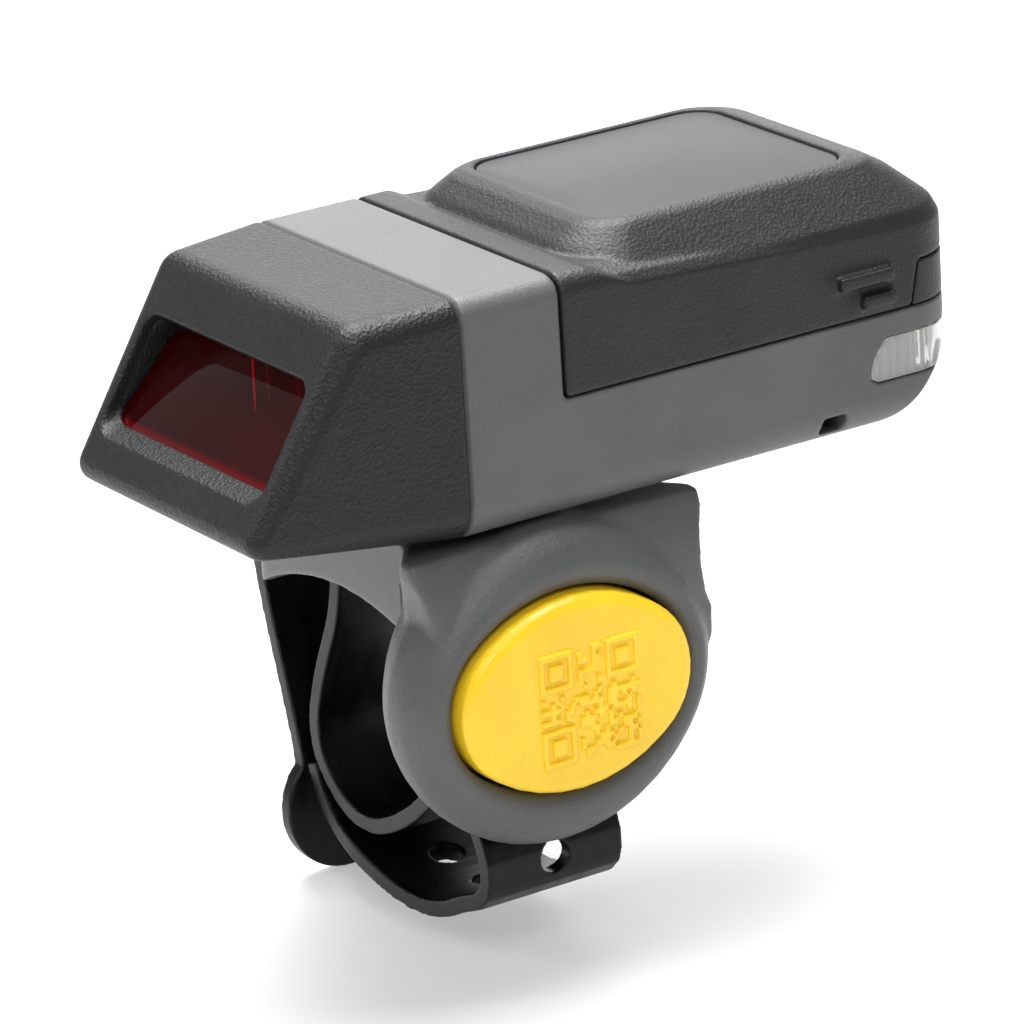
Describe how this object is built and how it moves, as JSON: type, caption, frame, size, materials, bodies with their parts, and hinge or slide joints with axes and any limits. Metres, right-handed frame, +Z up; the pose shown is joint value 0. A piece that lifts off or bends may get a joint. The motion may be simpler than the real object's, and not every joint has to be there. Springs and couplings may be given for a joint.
{
  "type": "ring barcode scanner",
  "caption": "Finger-worn barcode scanner: a boxy reader with a slanted window and clip-on battery pack swivels on a strap-on ring mount with an oval thumb button.",
  "frame": {"origin": "on the axis of the index finger, at the middle of the strap's width", "axes": "+Y back along the finger towards the wrist, so the scan window faces -Y; +X towards the thumb and the trigger; +Z up through the swivel"},
  "size_m": [0.0365, 0.0661, 0.0584],
  "materials": {
    "black_plastic": "fine leather-like mould grain",
    "grey_plastic": "satin with a faint mould grain",
    "saddle_grey": "satin with a faint mould grain",
    "yellow_plastic": "satin, embossed",
    "red_window": "deep red, polished",
    "clear_plastic": "clear, polished",
    "strap_rubber": "soft satin",
    "label_grey": "fine matt",
    "inner_plastic": "plain",
    "board_green": "solder mask",
    "chip_black": "moulded",
    "lens_black": "polished",
    "led_white": "clear resin",
    "contact_gold": "gold plated",
    "steel": "turned",
    "cell_foil": "foil",
    "dome_silicone": "matt"
  },
  "bodies": {
    "ring_mount": {"ring_saddle": "saddle_grey", "trigger_housing": "grey_plastic", "trigger_cover": "inner_plastic", "cover_screws": "steel", "trigger_board": "board_green", "trigger_dome": "dome_silicone", "strap_bar": "steel", "finger_strap": "strap_rubber", "swivel_spindle": "steel", "spindle_cap": "inner_plastic", "swivel_washer": "steel", "swivel_clip": "steel", "slip_disc": "contact_gold"},
    "scanner_body": {"nose_bezel": "black_plastic", "scan_window": "red_window", "window_gasket": "inner_plastic", "scan_engine": "inner_plastic", "imaging_lens": "lens_black", "aiming_leds": "led_white", "engine_board": "board_green", "main_board": "board_green", "board_chips": "chip_black", "status_leds": "led_white", "buzzer": "chip_black", "main_housing": "grey_plastic", "light_pipe": "clear_plastic", "bay_floor": "inner_plastic", "floor_screws": "steel", "contact_block": "inner_plastic", "contact_pins": "contact_gold", "battery_case": "black_plastic", "label_plate": "label_grey", "battery_base": "black_plastic", "battery_cell": "cell_foil", "battery_pads": "contact_gold", "latch_spring": "steel", "swivel_pins": "contact_gold"},
    "trigger": {"trigger_button": "yellow_plastic"},
    "latch": {"latch_tab": "black_plastic"}
  },
  "joints": [
    {"name": "swivel", "type": "hinge", "parent": "ring_mount", "child": "scanner_body", "pos_m": [0.0022, 0, 0.0186], "axis": [0, 0, 1], "range_deg": [0, 180]},
    {"name": "trigger_press", "type": "slide", "parent": "ring_mount", "child": "trigger", "axis": [-1, 0, 0], "range_m": [0, 0.0009], "stiffness_N_per_m": 900, "springref_m": -0.0006, "deforming": ["trigger_dome"]},
    {"name": "latch_slide", "type": "slide", "parent": "scanner_body", "child": "latch", "axis": [0, 1, 0], "range_m": [0, 0.0008], "stiffness_N_per_m": 800, "springref_m": -0.0008, "deforming": ["latch_spring"]}
  ]
}
